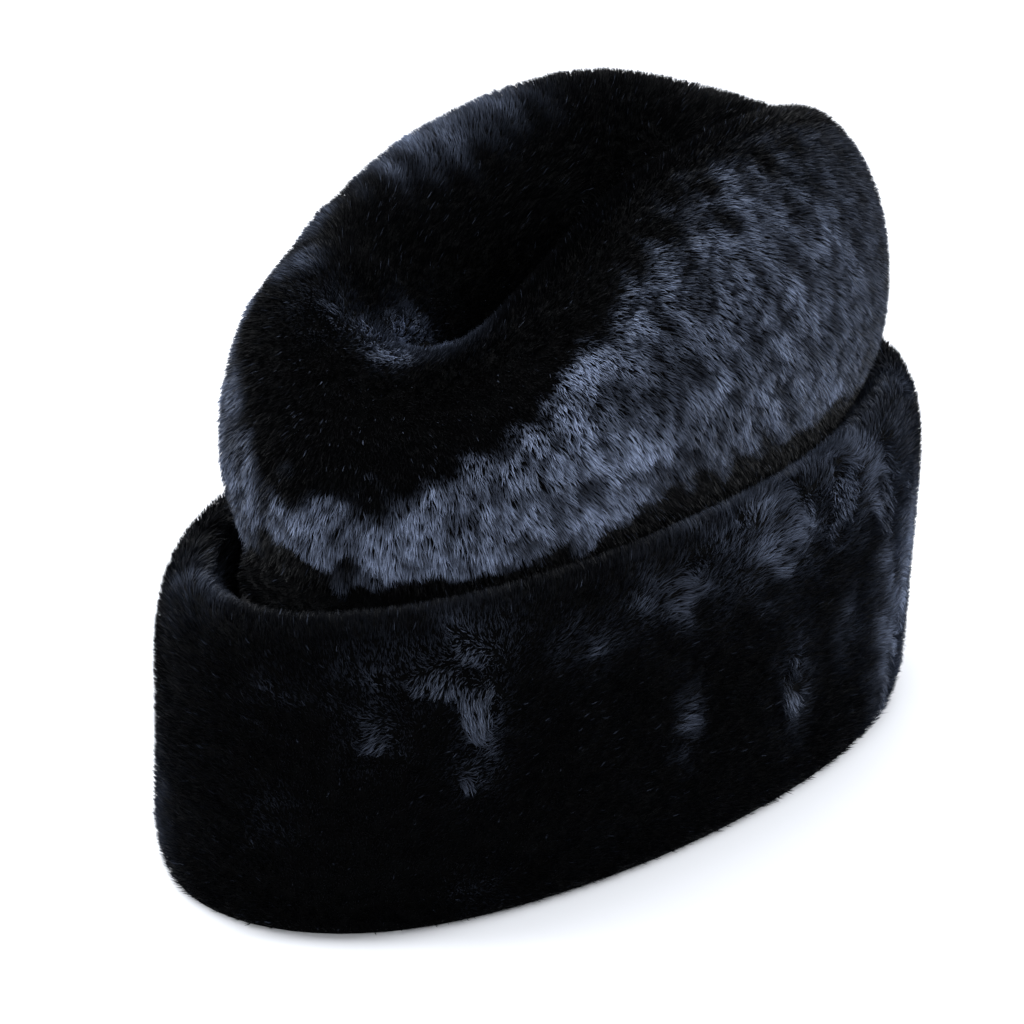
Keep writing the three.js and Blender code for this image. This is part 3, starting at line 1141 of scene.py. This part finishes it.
LAMPS = (
    Lamp("window left", across=-1.3, near=-0.5, height=1.1, size=1.4, power=90.0),
    Lamp("window right", across=1.3, near=-0.2, height=0.8, size=1.0, power=48.0),
    Lamp("overhead", across=0.0, near=-0.6, height=1.8, size=1.5, power=45.0),
    Lamp("front", across=-0.3, near=1.5, height=1.0, size=1.2, power=22.0),
)


@dataclass
class Studio:
    """The floor, the light and the camera."""

    eye: tuple[float, float, float] = (0.6374, -0.7173, 0.4628)
    target: tuple[float, float, float] = (-0.0011, -0.0159, 0.0800)
    lens: float = 126.56
    sensor: float = 36.0
    clip: tuple[float, float] = (0.01, 50.0)
    aim: tuple[float, float, float] = (0.0, 0.0, 0.1)
    floor_size: float = 12.0
    floor: tuple[float, float, float] = (0.52, 0.52, 0.53)
    floor_worn: float = 0.97
    floor_cloud: float = 0.5
    sky: tuple[float, float, float] = (0.80, 0.82, 0.86)
    sky_strength: float = 0.60
    light: tuple[float, float, float] = (0.93, 0.96, 1.0)

    def build(self) -> None:
        """Builds them all."""
        self.camera()
        self.ground()
        self.lights()
        scene = bpy.context.scene
        scene.view_settings.view_transform = "Standard"
        scene.world = bpy.data.worlds.new("studio")
        scene.world.use_nodes = True
        sky = scene.world.node_tree.nodes["Background"]
        sky.inputs["Color"].default_value = (*self.sky, 1)
        sky.inputs["Strength"].default_value = self.sky_strength

    def camera(self) -> None:
        """Stands the camera where the photograph was taken from."""
        data = bpy.data.cameras.new("camera")
        data.lens = self.lens
        data.sensor_width = self.sensor
        data.clip_start, data.clip_end = self.clip
        camera = linked(bpy.data.objects.new("camera", data))
        camera.location = self.eye
        sight = Vector(self.target) - Vector(self.eye)
        camera.rotation_euler = sight.to_track_quat("-Z", "Y").to_euler()
        bpy.context.scene.camera = camera

    def ground(self) -> None:
        """Lays the plain pale floor."""
        shape = bmesh.new()
        bmesh.ops.create_grid(shape, x_segments=1, y_segments=1, size=self.floor_size / 2)
        mesh = bpy.data.meshes.new("floor")
        shape.to_mesh(mesh)
        shape.free()
        shader = Shader("pale floor", {"Roughness": 0.6, "Specular IOR Level": 0.3})
        worn = tuple(self.floor_worn * part for part in self.floor)
        tone = shader.mix(shader.noise(self.floor_cloud), self.floor, worn)
        shader.feed(shader.surface, {"Base Color": tone})
        mesh.materials.append(shader.material)
        linked(bpy.data.objects.new("floor", mesh))

    def lights(self) -> None:
        """Hangs the soft lights, each aimed at the hat."""
        aim = Vector(self.aim)
        away = Vector(self.eye) - Vector(self.target)
        away.z = 0
        away.normalize()
        right = Vector((-away.y, away.x, 0))
        for lamp in LAMPS:
            data = bpy.data.lights.new(lamp.name, "AREA")
            data.shape = "SQUARE"
            data.size = lamp.size
            data.energy = lamp.power
            data.color = self.light
            light = linked(bpy.data.objects.new(lamp.name, data))
            light.location = aim + right * lamp.across + away * lamp.near + Vector((0, 0, lamp.height))
            light.rotation_euler = (aim - light.location).to_track_quat("-Z", "Y").to_euler()


def main() -> None:
    """Builds the hat and its studio."""
    logging.basicConfig(level=logging.INFO, format="%(name)s: %(message)s")
    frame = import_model()
    finishes = {
        "pile": PileFinish().material(),
        "undercoat": GroundFinish().material(),
        "backing": BackingFinish().material(),
    }
    for node in ("crown", "cuff"):
        Backing(node).build(frame["nodes"], finishes)
    CrownCoat(Coat.CROWN, Pile(fibres=255_000), pieces=3, seed=SEED).build(frame["nodes"], finishes)
    CuffCoat(Coat.CUFF, Pile(fibres=215_000), pieces=3, seed=SEED + 10).build(frame["nodes"], finishes)
    Studio().build()


if __name__ == "__main__":
    main()
